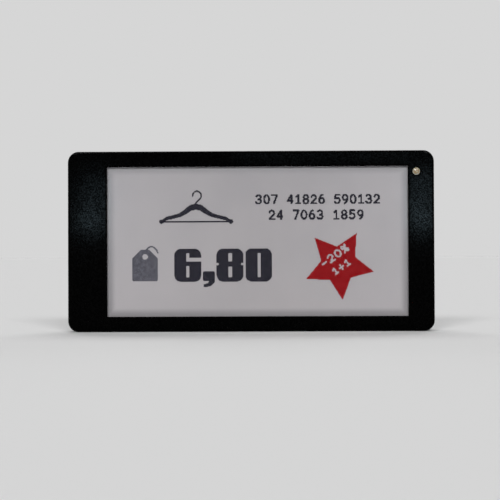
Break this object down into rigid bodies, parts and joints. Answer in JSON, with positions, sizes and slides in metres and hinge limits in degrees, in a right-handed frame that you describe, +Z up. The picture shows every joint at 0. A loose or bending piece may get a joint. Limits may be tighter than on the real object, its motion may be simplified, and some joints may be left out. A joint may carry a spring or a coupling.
{
  "type": "electronic shelf label",
  "caption": "Electronic shelf label: a flat black moulded case with an electronic ink display behind a clear window, a status light, and a sliding battery door at the back.",
  "frame": {"origin": "middle of the bottom edge's bounding box, with the label standing upright", "axes": "+X to the right as seen from the front, +Y from the display to the back, +Z up"},
  "size_m": [0.101, 0.0122, 0.0498],
  "materials": {
    "frame_abs": "black ABS, finely grained mould texture",
    "case_abs": "black ABS, finely grained mould texture",
    "door_abs": "black ABS, finely grained mould texture",
    "key_abs": "black ABS, smooth moulded",
    "window_acrylic": "clear acrylic, polished, with a faint anti-glare coat",
    "black_tape": "black double-sided tape",
    "lens_polycarbonate": "milky polycarbonate, polished",
    "ink_film": "electronic ink film, paper-like",
    "display_glass": "thin display glass",
    "silicon": "bare chip with a dark coat",
    "polyimide": "amber polyimide film",
    "stiffener": "blue polyester stiffener",
    "foam": "dark grey foam",
    "tray_abs": "white ABS",
    "copper": "etched copper",
    "board_epoxy": "green solder mask over glass epoxy",
    "chip_epoxy": "black moulded epoxy",
    "can_metal": "nickel-plated lid",
    "ferrite": "sintered ferrite",
    "ceramic": "fired ceramic with tinned ends",
    "tantalum_epoxy": "moulded epoxy",
    "resistor_glaze": "black glaze with tinned ends",
    "led_epoxy": "clear epoxy over phosphor",
    "connector_polymer": "natural liquid crystal polymer",
    "gold_plate": "gold plate",
    "latch_polymer": "dark liquid crystal polymer",
    "tinned_steel": "tin-plated sheet",
    "contact_nickel": "nickel-plated spring sheet",
    "cell_steel": "drawn stainless steel",
    "cell_core": "electrode pack with a polypropylene seal",
    "screw_steel": "zinc-plated steel",
    "switch_polymer": "black polymer"
  },
  "bodies": {
    "label": {"front_frame": "frame_abs", "display_window": "window_acrylic", "window_tape": "black_tape", "light_pipe": "lens_polycarbonate", "ink_film": "ink_film", "display_glass": "display_glass", "driver_chip": "silicon", "display_flex": "polyimide", "flex_stiffener": "stiffener", "foam_tape": "foam", "display_tray": "tray_abs", "coil_film": "polyimide", "coil_track": "copper", "circuit_board": "board_epoxy", "radio_chip": "chip_epoxy", "memory_chip": "chip_epoxy", "radio_crystal": "can_metal", "clock_crystal": "can_metal", "boost_inductor": "ferrite", "boost_semiconductors": "chip_epoxy", "ceramic_capacitors": "ceramic", "tantalum_capacitors": "tantalum_epoxy", "chip_resistors": "resistor_glaze", "status_led": "led_epoxy", "flex_connector": "connector_polymer", "flex_contacts": "gold_plate", "aerial": "tinned_steel", "minus_contacts": "contact_nickel", "plus_contacts": "contact_nickel", "left_cell_can": "cell_steel", "left_cell_core": "cell_core", "left_cell_cap": "cell_steel", "right_cell_can": "cell_steel", "right_cell_core": "cell_core", "right_cell_cap": "cell_steel", "board_screws": "screw_steel", "switch_base": "switch_polymer", "switch_cover": "tinned_steel", "rear_case": "case_abs"},
    "door": {"battery_door": "door_abs", "door_pad": "foam"},
    "key": {"button_cap": "key_abs", "switch_plunger": "switch_polymer"},
    "connector_latch": {"flex_latch": "latch_polymer"}
  },
  "joints": [
    {"name": "door_slide", "type": "slide", "parent": "label", "child": "door", "axis": [0, 0, 1], "range_m": [0, 0.038]},
    {"name": "key_press", "type": "slide", "parent": "label", "child": "key", "axis": [0, -1, 0], "range_m": [0, 0.0003], "stiffness_N_per_m": 3000},
    {"name": "latch_flip", "type": "hinge", "parent": "label", "child": "connector_latch", "pos_m": [-0.0398, -0.00015, 0.02485], "axis": [0, 0, -1], "range_deg": [0, 90]}
  ]
}
